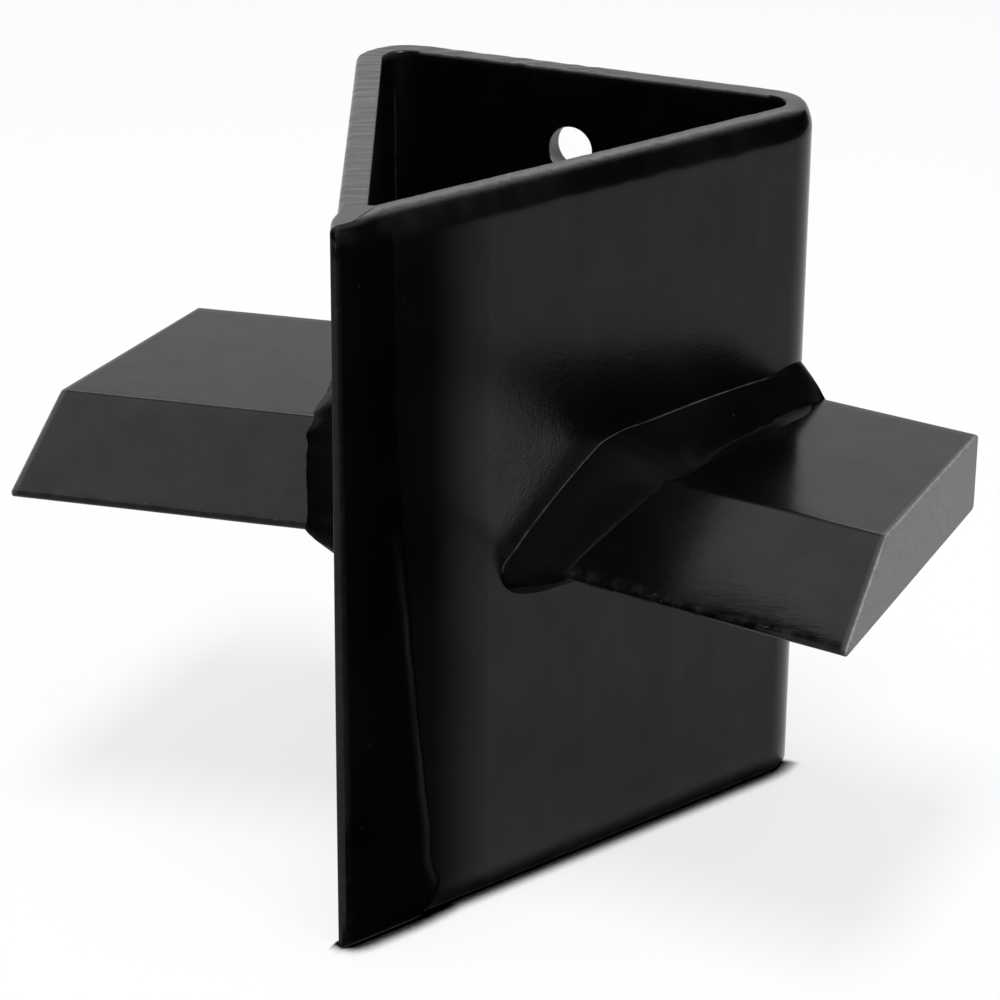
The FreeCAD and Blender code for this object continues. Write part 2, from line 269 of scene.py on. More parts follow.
class Graph:
    """Short forms for wiring a material."""

    def __init__(self, name):
        self.material = bpy.data.materials.new(name)
        self.material.use_nodes = True
        self.nodes = self.material.node_tree.nodes
        self.links = self.material.node_tree.links
        self.shader = self.nodes["Principled BSDF"]
        self.place = self.nodes.new("ShaderNodeTexCoord").outputs["Object"]

    def wire(self, source, target):
        if isinstance(source, (int, float)):
            target.default_value = source
        else:
            self.links.new(source, target)

    def math(self, operation, first, second=0.0):
        node = self.nodes.new("ShaderNodeMath")
        node.operation = operation
        self.wire(first, node.inputs[0])
        self.wire(second, node.inputs[1])
        return node.outputs[0]

    def ramp(self, value, from_low, from_high, to_low=0.0, to_high=1.0):
        node = self.nodes.new("ShaderNodeMapRange")
        node.interpolation_type = "SMOOTHSTEP"
        self.wire(value, node.inputs["Value"])
        for socket, number in zip(node.inputs[1:5], (from_low, from_high, to_low, to_high)):
            socket.default_value = number
        return node.outputs["Result"]

    def stretch(self, factors):
        node = self.nodes.new("ShaderNodeMapping")
        node.inputs["Scale"].default_value = factors
        self.links.new(self.place, node.inputs["Vector"])
        return node.outputs["Vector"]

    def noise(self, size, detail=2.0, roughness=0.5, where=None):
        """Noise whose lumps are about that many millimetres."""
        node = self.nodes.new("ShaderNodeTexNoise")
        node.inputs["Scale"].default_value = 1.0 / (size * MM)
        node.inputs["Detail"].default_value = detail
        node.inputs["Roughness"].default_value = roughness
        self.links.new(where or self.place, node.inputs["Vector"])
        return node.outputs["Fac"]

    def specks(self, size):
        """Distance from scattered cell centres, in cells."""
        node = self.nodes.new("ShaderNodeTexVoronoi")
        node.inputs["Scale"].default_value = 1.0 / (size * MM)
        self.links.new(self.place, node.inputs["Vector"])
        return node.outputs["Distance"]

    def mask(self, name):
        node = self.nodes.new("ShaderNodeAttribute")
        node.attribute_name = name
        return node.outputs["Fac"]

    def mix(self, factor, first, second):
        """Colour between two colours, or between a wired colour and a colour."""
        node = self.nodes.new("ShaderNodeMix")
        node.data_type = "RGBA"
        self.wire(factor, node.inputs[0])
        for socket, colour in ((node.inputs[6], first), (node.inputs[7], second)):
            if isinstance(colour, tuple):
                socket.default_value = (*colour, 1.0)
            else:
                self.links.new(colour, socket)
        return node.outputs[2]

    def blend(self, factor, first, second):
        """Number between two numbers."""
        node = self.nodes.new("ShaderNodeMix")
        self.wire(factor, node.inputs[0])
        self.wire(first, node.inputs[2])
        self.wire(second, node.inputs[3])
        return node.outputs[0]

    def bump(self, height, depth, strength=1.0, below=None):
        """Relief of that many millimetres, on top of another."""
        node = self.nodes.new("ShaderNodeBump")
        node.inputs["Distance"].default_value = depth * MM
        self.wire(strength, node.inputs["Strength"])
        self.wire(height, node.inputs["Height"])
        if below:
            self.links.new(below, node.inputs["Normal"])
        return node.outputs["Normal"]


DUST = (0.008, 0.008, 0.008)
# through the cut mask the same colours also paint a highlight line along the nose's foot
CUT_PAINT_AND_HIGHLIGHT = ((0.07, 0.07, 0.072), (0.115, 0.115, 0.117))     # darkest and palest, over cut metal
WORN_PAINT = (0.012, 0.012, 0.012)
CHIPPED_PAINT = (0.035, 0.034, 0.032)
# painted highlight: paler paint for lines that stand in for light caught on edges and toes
PAINTED_HIGHLIGHT = (0.034, 0.034, 0.034)
THIN_ROUGHNESS = 0.46
WORN_ROUGHNESS = 0.32
DULL_SHINE = 0.012             # specular level where the paint is dull


def black_enamel(name, gloss, tint, shine, brushing):
    """Gloss black paint, from its roughness, colour, specular level and depth of brush marks.

    Point masks: peel for orange peel, cut for thin paint over cut metal and for a painted highlight
    along the nose's foot, wear for worn and chipped paint, edge for painted highlight lines, and dull
    for paint with no gloss.
    """
    graph = Graph(name)
    shader = graph.shader
    broad = graph.noise(35, 3)
    fine = graph.noise(0.9, 4, 0.7)
    speck = graph.specks(5.5)
    peel = graph.mask("peel")
    cut = graph.mask("cut")
    wear = graph.mask("wear")
    edge = graph.mask("edge")

    colour = graph.mix(graph.ramp(broad, 0.35, 0.65), tuple(0.6 * c for c in tint), tint)
    dusty_zone = graph.ramp(graph.noise(14, 1), 0.52, 0.62)
    dust = graph.math("MULTIPLY", graph.ramp(speck, 0.09, 0.03), dusty_zone)
    colour = graph.mix(graph.math("MULTIPLY", dust, 0.5), colour, DUST)
    thin = graph.mix(graph.ramp(fine, 0.3, 0.7), *CUT_PAINT_AND_HIGHLIGHT)
    colour = graph.mix(cut, colour, thin)
    worn = graph.math("MULTIPLY", wear, graph.ramp(graph.noise(3.5, 3, 0.6), 0.35, 0.75))
    colour = graph.mix(worn, colour, WORN_PAINT)
    chipped = graph.math("MULTIPLY", wear, graph.ramp(graph.noise(1.6, 3, 0.7), 0.64, 0.70))
    colour = graph.mix(chipped, colour, CHIPPED_PAINT)
    # painted highlight: broken paler lines wherever the edge mask is set
    painted_line = graph.math("MULTIPLY", edge, graph.ramp(graph.noise(3.0, 3, 0.6), 0.30, 0.60, 0.35, 1.0))
    colour = graph.mix(painted_line, colour, PAINTED_HIGHLIGHT)
    graph.links.new(colour, shader.inputs["Base Color"])

    rough = graph.ramp(broad, 0.3, 0.7, gloss - 0.025, gloss + 0.035)
    rough = graph.blend(peel, rough, gloss + 0.05)
    rough = graph.blend(cut, rough, THIN_ROUGHNESS)
    rough = graph.blend(worn, rough, WORN_ROUGHNESS)
    graph.links.new(rough, shader.inputs["Roughness"])
    mottle = graph.noise(9.0, 4, 0.65, graph.stretch((1.0, 1.0, 0.45)))
    level = graph.ramp(mottle, 0.30, 0.70, 0.90, 1.06)
    level = graph.blend(graph.mask("dull"), level, DULL_SHINE / shine)
    # the plain factor comes last, because the export carries only that over
    graph.links.new(graph.math("MULTIPLY", level, shine), shader.inputs["Specular IOR Level"])

    normal = graph.bump(graph.noise(22, 2), 0.5, 0.08)
    normal = graph.bump(graph.noise(3.2, 2), 0.05, 0.35, normal)
    brushed = graph.noise(1.6, 3, 0.6, graph.stretch((0.16, 1.0, 0.5)))
    normal = graph.bump(brushed, 0.03, brushing, normal)
    skin = graph.math("ADD", graph.noise(0.7, 2, 0.6), graph.noise(2.0, 2))
    normal = graph.bump(skin, 0.075, peel, normal)
    grain = graph.noise(0.45, 3, 0.7)
    normal = graph.bump(grain, 0.06, cut, normal)
    graph.links.new(normal, shader.inputs["Normal"])
    return graph.material


BLACK = (0.0008, 0.0008, 0.0009)
WELD_BLACK = (0.0012, 0.0012, 0.0013)
SLEEVE_PAINT = black_enamel("sleeve_enamel", gloss=0.20, tint=BLACK, shine=0.20, brushing=0.18)
WING_PAINT = black_enamel("wing_enamel", gloss=0.17, tint=BLACK, shine=0.19, brushing=0.90)
WELD_PAINT = black_enamel("weld_enamel", gloss=0.28, tint=WELD_BLACK, shine=0.04, brushing=0.18)

# ---------------------------------------------------------------- sleeve

RIM_ROUND = 1.4                # rounding of the rim's outer edge on the left side and the back
RIM_INNER = (0.65, 0.35)       # rounding of its inner edge, on the sides and on the back
# worn rim of the right side: drop below the rim, and sink under the plate's outer face
WORN_RIM = np.array([
    (7.5, 0.0), (6.3, 0.12), (4.8, 0.50), (3.3, 1.00), (2.1, 1.40), (1.6, 1.60),
    (1.15, 1.85), (0.75, 2.40), (0.42, 3.20), (0.18, 4.20), (0.03, 5.20), (0.0, 5.70),
])
RIM_FLAT_END = 5.7             # the rim's flat top ends this far under the plate's outer face
FOOT = 0.7                     # rounding at the bottom


def rim_drop(places):
    """How far the flame-cut rim lies below the CAD height: drag lines and slow lumps."""
    places = np.asarray(places)
    flat = places * (1.0, 1.0, 0.0)
    # drag lines run across the plate: their phase follows the plate's length
    along = np.abs(places[:, 0]) * SIN + places[:, 1] * COS
    lines = np.stack([along / 1.7, places[:, 0] / 9.0, np.zeros(len(places))], axis=1)
    drag = ripple_noise(lines, 1.0, 3)
    slow = ripple_noise(flat, 9.0, 4)
    depth = np.where(places[:, 0] < 0, 0.16, 0.07)
    return np.maximum(0.14 + depth * drag + 0.12 * slow, 0.02)


def lower_rim(rings):
    """The rings with their top lowered to the flame-cut rim."""
    flat = rings.reshape(-1, 3)
    near_rim = smooth_step(flat[:, 2], HEIGHT - 3.0, HEIGHT - 0.6)
    flat[:, 2] -= near_rim * rim_drop(flat)
    return rings


def rim_profile(worn, swell, inner):
    """Drops and sinks from the outer face over the rim's top, from a plain to a worn rounding."""
    turns = np.linspace(0, math.pi / 2, 7)
    flat_top = np.linspace(RIM_ROUND, RIM_FLAT_END, 6)[1:]
    drop = np.concatenate([RIM_ROUND * (1 - np.sin(turns)), np.zeros(5)])
    sink = np.concatenate([RIM_ROUND * (1 - np.cos(turns)), flat_top])
    drop = (drop + (WORN_RIM[:, 0] - drop) * worn) * (1 + 0.10 * swell)
    sink = (sink + (WORN_RIM[:, 1] - sink) * worn) * (1 + 0.06 * swell)
    return drop, np.minimum(sink, PLATE - inner)


def make_sleeve():
    """The plate's section swept from the nose round both bends and back to the nose."""
    side_steps = np.linspace(PLATE_END, BEND_START, 150)
    bend_steps = np.linspace(BEND_START, BEND_END, 35)[1:]
    back_steps = np.linspace(BEND_END, BEND_END + HALF_BACK, 52)[1:]
    half = np.concatenate([side_steps, bend_steps, back_steps])
    along = np.concatenate([half, half[-2::-1]])
    side = np.concatenate([-np.ones(len(half)), np.ones(len(half) - 1)])

    # ring round the plate's section: sink under the outer skin, and height
    quarter = np.linspace(0, math.pi / 2, 7)
    face = np.concatenate([np.linspace(0, 0.96, 22), [0.975, 0.984, 0.991, 0.997, 1.0]])
    rings = []
    for place, hand in zip(along, side):
        here = skin_point(hand, place, PLATE / 2, 0.0)
        swell = noise.noise(Vector(here) / 7.0 + Vector((3.0, 0, 0)))
        on_back = float(smooth_step(place, BEND_START, BEND_END))
        inner = RIM_INNER[0] + (RIM_INNER[1] - RIM_INNER[0]) * on_back
        rim_drops, rim_sinks = rim_profile((hand > 0) * (1 - on_back), swell, inner)
        sink = np.concatenate([
            np.zeros(len(face) - 1),
            rim_sinks,
            PLATE - inner * (1 - np.sin(quarter[1:])),
            np.full(len(face) - 1, PLATE),
            PLATE - FOOT * (1 - np.cos(quarter[::2][1:])),
            FOOT + (PLATE - 2 * FOOT) * np.linspace(1, 0, 4)[1:],
            FOOT * (1 - np.sin(quarter[::2][1:-1])),
        ])
        height = np.concatenate([
            FOOT + (HEIGHT - rim_drops[0] - FOOT) * face[:-1],
            HEIGHT - rim_drops,
            HEIGHT - inner * (1 - np.cos(quarter[1:])),
            FOOT + (HEIGHT - inner - FOOT) * face[-2::-1],
            FOOT * (1 - np.sin(quarter[::2][1:])),
            np.zeros(3),
            FOOT * (1 - np.cos(quarter[::2][1:-1])),
        ])
        rings.append(skin_point(hand, place, sink, height))
    return new_piece("sleeve_plate_painted", lower_rim(np.array(rings)))


def cut_bolt_hole(sleeve):
    """Round hole through the back wall, its mouths softly rounded."""
    mouth = 0.7
    beyond = 2.0                # the cutter stands this far out of the wall
    outside = DEPTH - MID_DEPTH
    quarter = np.linspace(0, math.pi / 2, 6)
    half_profile = [(PLATE / 2 + beyond, HOLE_RADIUS + mouth)]
    half_profile += [
        (PLATE / 2 - mouth * (1 - math.cos(t)), HOLE_RADIUS + mouth * (1 - math.sin(t))) for t in quarter
    ]
    profile = half_profile + [(-depth, radius) for depth, radius in reversed(half_profile)]
    turns = np.linspace(0, 2 * math.pi, 72, endpoint=False)
    rings = np.array([
        np.stack([
            HOLE_X + radius * np.cos(turns),
            np.full(len(turns), outside - PLATE / 2 + depth),
            HOLE_HEIGHT + radius * np.sin(turns),
        ], axis=1)
        for depth, radius in profile
    ])
    cutter = new_piece("bolt_hole_cutter", rings)
    difference = sleeve.modifiers.new("bolt_hole", "BOOLEAN")
    difference.operation = "DIFFERENCE"
    difference.solver = "EXACT"
    difference.object = cutter
    view = bpy.context.evaluated_depsgraph_get()
    holed = bpy.data.meshes.new_from_object(sleeve.evaluated_get(view))
    sleeve.modifiers.clear()
    sleeve.data = holed
    bpy.data.objects.remove(cutter)


# the heat's zones, ahead of each wing's weld and above it: strength, then middle and spread along
# the plate, then middle and spread in height
PEEL_ZONES = ((1.0, 52.0, 13.0, 108.0, 17.0), (0.35, 95.0, 45.0, 112.0, 14.0))


def sleeve_peel(places):
    """Orange peel on the outside, a trace everywhere and strong where the heat was."""
    along, out = side_place(places)
    peel = np.full(len(places), 0.05)
    for strength, middle, spread, level, rise in PEEL_ZONES:
        fall = ((along - middle) / spread) ** 2 + ((places[:, 2] - level) / rise) ** 2
        peel += strength * np.exp(-fall)
    return np.clip(peel, 0.0, 1.0) * (out > -1.0)


def on_back_wall(places):
    """0 on the side plates, 1 on the back wall."""
    return smooth_step(places[:, 1] + MID_DEPTH, DEPTH - BEND_OUTER, DEPTH - PLATE)


def sleeve_cut(places):
    """Thin paint on the rim's cut face, thinner on the back wall's, and in the bolt hole's bore."""
    back = on_back_wall(places)
    rim = (0.15 - 0.13 * back) * smooth_step(places[:, 2], HEIGHT - 1.6, HEIGHT - 0.6)
    from_bore = np.hypot(places[:, 0] - HOLE_X, places[:, 2] - HOLE_HEIGHT) - HOLE_RADIUS
    return np.maximum(rim, (from_bore < 0.05) * (places[:, 1] > 0.0))


def sleeve_wear(places):
    """Worn paint along the foot and the rim, less on the back wall."""
    top = smooth_step(places[:, 2], HEIGHT - 2.2, HEIGHT - 0.8)
    foot = 1.0 - smooth_step(places[:, 2], 0.3, 1.1)
    return 0.4 * np.maximum(top * (1 - 0.85 * on_back_wall(places)), foot)


def sleeve_painted_highlight(places):
    """Painted highlight lines: on the inner edge of the back wall's rim, along the foot and up the
    inside of the left bend.
    """
    inner = np.abs(places[:, 1] + MID_DEPTH - DEPTH + PLATE) < 0.32
    inner = inner * (np.abs(places[:, 0]) < HALF_BACK)
    rim = inner * smooth_step(places[:, 2], HEIGHT - 0.9, HEIGHT - 0.6)
    foot = 0.8 * (1.0 - smooth_step(places[:, 2], 0.1, 0.8))
    # painted highlight line up the middle of the left bend, inside
    from_centre = np.stack([-places[:, 0] - HALF_BACK, places[:, 1] + MID_DEPTH - DEPTH + BEND_OUTER])
    middle = np.abs(np.arctan2(from_centre[1], from_centre[0]) - BEND_TURN / 2 + HALF_ANGLE) < 0.01
    inside = np.hypot(*from_centre) < BEND_OUTER - PLATE + 0.1
    fold_highlight = 0.35 * middle * inside * (places[:, 2] < HEIGHT - 8.0)
    return np.maximum(np.maximum(rim, foot), fold_highlight)


sleeve = make_sleeve()
cut_bolt_hole(sleeve)
finish_piece(sleeve, "sleeve_plate", SLEEVE_PAINT,
             {"peel": sleeve_peel, "cut": sleeve_cut, "wear": sleeve_wear, "edge": sleeve_painted_highlight})

# ---------------------------------------------------------------- nose weld

# the cap's edge on the side plates: height, and distance along from the sharp corner
NOSE_TOE = [
    (0.0, 22.4), (3.0, 25.6), (6.5, 27.2), (11.0, 25.6), (17.0, 24.9), (25.0, 24.3),
    (36.0, 23.0), (46.0, 21.8), (68.0, 19.8), (95.0, 17.6), (150.0, 13.3), (170.0, 12.0),
]
TOE_SLOPE = (2.6, 7.0)         # how far the cap takes to rise, low down and near the rim
TOE_WOBBLE = 0.35
NOSE_TOP = 1.2                 # rounding of the cap's top edge at the nose
NOSE_WORN = 0.3                # how much thinner the cap has been dressed near the rim
CAP_WAVE = 0.04                # share of the cap's thickness
FEATHER = 0.02                 # what is left of the cap's thickness at its toe


def make_nose_weld():
    """Flat sections of the cap, its blunt edge and the hidden groove filling, from foot to rim."""
    toe_heights = np.array([height for height, _ in NOSE_TOE])
    toe_knots = np.array([[toe] for _, toe in NOSE_TOE])
    heights = np.concatenate([
        FOOT * (1 - np.cos(np.linspace(0, math.pi / 2, 4)[:-1])),
        np.linspace(FOOT, HEIGHT - WORN_RIM[0, 0], 190)[:-1],
        HEIGHT - WORN_RIM[:, 0],
    ])
    toes = flowing(toe_knots, toe_heights, heights)[:, 0]
    blunt_y = (NOSE_FLAT / 2 * COS - NOSE_PROUD) / SIN
    parts = np.concatenate([np.linspace(0, 0.9, 12), np.linspace(0.9, 1.0, 10)[1:]])
    rings = []
    for height, toe in zip(heights, toes):
        worn = float(np.interp(HEIGHT - height, WORN_RIM[::-1, 0], WORN_RIM[::-1, 1]))
        rise = max(height - HEIGHT + RIM_ROUND, 0.0)
        plain = RIM_ROUND - math.sqrt(RIM_ROUND ** 2 - rise ** 2)
        below = max(FOOT - height, 0.0)
        foot = FOOT - math.sqrt(FOOT ** 2 - below ** 2)
        proud = NOSE_PROUD - NOSE_WORN * float(smooth_step(height, 20.0, 160.0))
        halves = []
        for hand, rim in ((1, worn), (-1, plain)):
            wobble = TOE_WOBBLE * noise.noise(Vector((hand * 5.0, 0, height / 9.0)))
            edge = toe + wobble
            # the face runs on past its toe, and past the plate's hidden end
            last = max(edge, PLATE_END + 0.6) + 0.4
            tip = min(rim, NOSE_TOP) + foot
            # corner where the face, set in by the rounding, meets the blunt edge
            first_out = proud - tip
            corner_along = (blunt_y + tip + first_out * SIN) / COS
            along = corner_along + 0.12 + (last - corner_along - 0.12) * parts
            slope = TOE_SLOPE[0] + (TOE_SLOPE[1] - TOE_SLOPE[0]) * smooth_step(height, 50.0, 120.0)
            cap = proud * smooth_step(edge - along, 0.0, slope)
            spots = [Vector((place / 9.0, hand * 3.0, height / 16.0)) for place in along]
            waves = CAP_WAVE * np.array([noise.noise(spot) for spot in spots])
            cap = cap * (1 + waves * smooth_step(along, 1.0, 5.0)) + FEATHER * parts
            shrink = tip + (rim + foot - tip) * smooth_step(along, 3.0, PLATE_END)
            face = side_point(hand, along, cap - shrink, height)
            # two points round the corner to the blunt edge, then the hidden groove filling
            corner_x = corner_along * SIN + first_out * COS
            corner = np.array([
                [hand * corner_x * 0.84, blunt_y - MID_DEPTH + tip, height],
                [hand * corner_x * 0.97, blunt_y - MID_DEPTH + tip + 0.03, height],
            ])
            groove = side_point(hand, PLATE_END, np.array([-rim - foot, -PLATE]), height)
            halves.append(np.vstack([corner, face, groove]))
        rings.append(np.vstack([halves[0], halves[1][::-1]]))
    return new_piece("nose_weld_painted", lower_rim(np.array(rings)))


def nose_wear(places):
    """Worn paint on the blunt edge, but not near the rim."""
    blunt = 1.0 - smooth_step(places[:, 1] + MID_DEPTH, -1.2, -0.4)
    return 0.25 * blunt * (1 - smooth_step(places[:, 2], HEIGHT - 12.0, HEIGHT - 6.0))


def nose_dull(places):
    """The right dressed face is dull; its blunt edge, rim and low toe are glossier."""
    blunt = 1.0 - smooth_step(places[:, 1] + MID_DEPTH, -1.12, -1.02)
    along = side_place(places)[0]
    rim = smooth_step(places[:, 2], HEIGHT - 5.5, HEIGHT - 3.0) * np.where(along > 1.0, 1.0, 0.25)
    toe = smooth_step(along, 19.5, 21.5) * (1 - smooth_step(places[:, 2], 36.0, 62.0))
    glossy = np.maximum(np.maximum(0.8 * blunt, rim), 0.12 * toe)
    return (1.0 - glossy) * (places[:, 0] > 0)


def nose_cut_and_foot_highlight(places):
    """The same thin paint as on the sleeve's rim, and a painted highlight line along the foot of the
    right side.
    """
    foot = 0.5 * (1 - smooth_step(places[:, 2], 0.35, 0.75)) * (places[:, 0] > 0)
    return np.maximum(sleeve_cut(places), foot)


nose = make_nose_weld()
finish_piece(nose, "nose_weld", SLEEVE_PAINT,
             {"peel": all_of(0.03), "cut": nose_cut_and_foot_highlight, "wear": nose_wear, "dull": nose_dull})

# ---------------------------------------------------------------- wings

TIP_ROUND = 0.7
BAR_ROUNDS = (0.8, 1.8, 0.9, 2.6, 0.8)     # of the section's corners, from the cutting edge backwards
SECTION_STEP = 2.5
BAR_WAVE = 0.05                # slow waviness of the bar's faces
BEAD = 0.02                    # beads of paint along the cutting edge


def bevel_height(reach):
    """Height of the bevel's face at that reach."""
    rise = (WING_TOP - WING_BOTTOM - EDGE_LAND) / (RIDGE_REACH - EDGE_REACH)
    return WING_BOTTOM + EDGE_LAND + (reach - EDGE_REACH) * rise


def make_wing(name, side):
    """The bar's section swept from the side plate to the rounded tip."""
    section, normals = rounded_outline(
        [(EDGE_REACH, WING_BOTTOM), (BACK_REACH, WING_BOTTOM), (BACK_REACH, WING_TOP),
         (RIDGE_REACH, WING_TOP), (EDGE_REACH, WING_BOTTOM + EDGE_LAND)],
        BAR_ROUNDS, SECTION_STEP)
    reach, height = section.T
    root = reach * SIN / (COS + SIN * SWEEP)
    steps = [(root + (HALF_SPAN - TIP_ROUND - root) * t, 0.0) for t in np.linspace(0, 1, 64)]
    for turn in np.linspace(0, math.pi / 2, 5)[1:]:
        across = np.full(len(reach), HALF_SPAN - TIP_ROUND + TIP_ROUND * math.sin(turn))
        steps.append((across, TIP_ROUND * (1 - math.cos(turn))))
    steps.append((np.full(len(reach), HALF_SPAN), TIP_ROUND + 0.35))
    rings = []
    for across, inset in steps:
        y = reach - normals[:, 0] * inset
        z = height - normals[:, 1] * inset
        places = np.stack([side * across, y - across * SWEEP - MID_DEPTH, z], axis=1)
        slow = BAR_WAVE * ripple_noise(places, 21.0, 6 + side)
        bead = np.maximum(ripple_noise(places * (1.0, 0.3, 0.3), 2.6, 8 + side), 0.0)
        on_edge = 1 - smooth_step(reach, EDGE_REACH + 0.2, EDGE_REACH + 1.6)
        on_edge *= height < WING_BOTTOM + 1.2
        push = slow + BEAD * bead * on_edge
        push *= smooth_step(HALF_SPAN - across, 0.0, 1.5) * smooth_step(across - root, 0.0, 2.0)
        places[:, 1] += normals[:, 0] * push
        places[:, 2] += normals[:, 1] * push
        rings.append(places)
    return new_piece(name, np.array(rings))


def wing_cut(places):
    """The sawn tip, a paler thin coat."""
    tip_edge = HALF_SPAN - TIP_ROUND
    return smooth_step(np.abs(places[:, 0]), tip_edge - 0.05, tip_edge + 0.1)


def wing_wear(places):
    """Worn paint on the cutting edge, the tip and the ridge."""
    reach = bar_reach(places)
    front = 1 - smooth_step(reach, EDGE_REACH + 0.4, EDGE_REACH + 1.8)
    tip = smooth_step(np.abs(places[:, 0]), HALF_SPAN - 0.9, HALF_SPAN - 0.3)
    ridge = 0.5 * (1 - smooth_step(np.hypot(reach - RIDGE_REACH, places[:, 2] - WING_TOP), 0.5, 1.6))
    return np.clip(0.4 * front + 0.3 * tip + 0.2 * ridge, 0.0, 1.0)


def wing_painted_highlight(places):
    """Painted highlight line along the lower front edge."""
    front = 1 - smooth_step(bar_reach(places), EDGE_REACH + 0.15, EDGE_REACH + 0.5)
    return 0.8 * front * (places[:, 2] < WING_BOTTOM + 0.7)


for hand_name, hand in (("right", 1), ("left", -1)):
    wing = make_wing(f"{hand_name}_wing_painted", hand)
    finish_piece(wing, f"{hand_name}_wing", WING_PAINT,
                 {"peel": all_of(0.04), "cut": wing_cut, "wear": wing_wear, "edge": wing_painted_highlight})

# ---------------------------------------------------------------- welds at the wing roots

# one loop round each wing's root, from the front over the top, down the back and along the
# underside: toe on the side plate (along, height), then toe on the wing (reach, height, and
# distance out on the right and on the left wing)
BEVEL = -1.0                   # stands for the bevel's own height at that reach
ON_TOP = WING_TOP - 0.05
UPPER = [
    (45.7, 79.2, 49.7, 80.0, 12.3, 10.2),
    (50.0, 84.2, 54.0, BEVEL, 12.6, 9.8),
    (56.7, 90.0, 60.0, BEVEL, 13.9, 10.4),
    (64.5, 96.0, 67.0, BEVEL, 15.6, 10.4),
    (71.5, 100.9, 72.0, BEVEL, 16.8, 9.6),
    (75.4, 103.2, 75.5, ON_TOP, 17.7, 9.2),
    (79.5, 104.2, 79.0, ON_TOP, 17.6, 8.8),
    (89.8, 104.9, 89.0, ON_TOP, 14.4, 6.6),
    (105.5, 105.9, 101.0, ON_TOP, 10.4, 5.4),
    (118.3, 106.3, 113.0, ON_TOP, 7.9, 4.9),
    (130.0, 106.5, 127.0, ON_TOP, 5.4, 4.8),
    (137.0, 107.6, 137.0, ON_TOP, 3.6, 3.6),
    (141.5, 106.6, 140.5, 96.8, 3.2, 3.2),
]
BACK = [
    (146.0, 101.5, BACK_REACH, 93.5, 5.0, 5.0),
    (148.5, 93.0, BACK_REACH, 89.0, 6.3, 6.3),
    (148.5, 83.5, BACK_REACH, 84.5, 6.3, 6.3),
    (146.0, 75.5, BACK_REACH, 80.6, 5.4, 5.4),
]
UNDER = [
    (140.5, 71.8, 139.5, WING_BOTTOM, 5.8, 5.8),
    (130.0, 71.2, 128.0, WING_BOTTOM, 7.2, 7.2),
    (105.0, 71.4, 102.0, WING_BOTTOM, 7.6, 7.6),
    (80.0, 71.2, 79.0, WING_BOTTOM, 8.0, 8.0),
    (62.0, 71.2, 63.0, WING_BOTTOM, 9.2, 8.8),
    (53.0, 72.0, 55.0, WING_BOTTOM, 11.0, 9.6),
    (48.6, 73.6, 51.2, WING_BOTTOM, 12.2, 10.2),
    (46.2, 76.2, 49.8, 79.0, 12.5, 10.4),
]
TOE_SINK = 0.12                # the toes lie this far under the plate's and the bar's faces
ROOT_INSIDE = 0.6              # the section's hidden corner lies this far inside the bar
ROOT_UNDER = 0.3               # and this far under the plate's outer face
APRON = 3.6                    # weld metal run out thinly over the right bar's top
APRON_GROWS = (84.0, 100.0)    # between these reaches
APRON_FADES = (127.0, 136.0)
APRON_START = 0.8              # share of the section's points before it
STEEP_SHARE = 0.94             # and the share of the way down that they cover
STATION_STEP = 0.7
RIPPLE_PITCH = 1.9
RIPPLE_DEPTH = (0.022, 0.10)   # on the upper run and on the others
CROWN = 0.045                  # share of the weld's width
LIP = 0.42                     # step at the toe on the side plate
LUMPS = {1: 0.25, -1: 1.0}     # unevenness of the toe on the right and on the left wing


def weld_loop(side):
    """Evenly spaced stations round the root, as rows of toe numbers, and where each run starts."""
    rows = np.array(UPPER + BACK + UNDER)
    on_bevel = rows[:, 3] == BEVEL
    rows[on_bevel, 3] = bevel_height(rows[on_bevel, 2])
    rows = rows[:, [0, 1, 2, 3, 4 if side > 0 else 5]]
    count = len(rows)
    wrapped = np.vstack([rows[-2:], rows, rows[:3]])
    lengths = np.linalg.norm(np.diff(wrapped, axis=0), axis=1)
    times = np.concatenate([[0.0], np.cumsum(lengths)])
    times -= times[2]
    total = times[count + 2]
    wanted = np.linspace(0, total, int(total / STATION_STEP), endpoint=False)
    starts = (0.0, times[2 + len(UPPER) - 1], times[2 + len(UPPER) + len(BACK)], total)
    return flowing(wrapped, times, wanted), wanted, starts


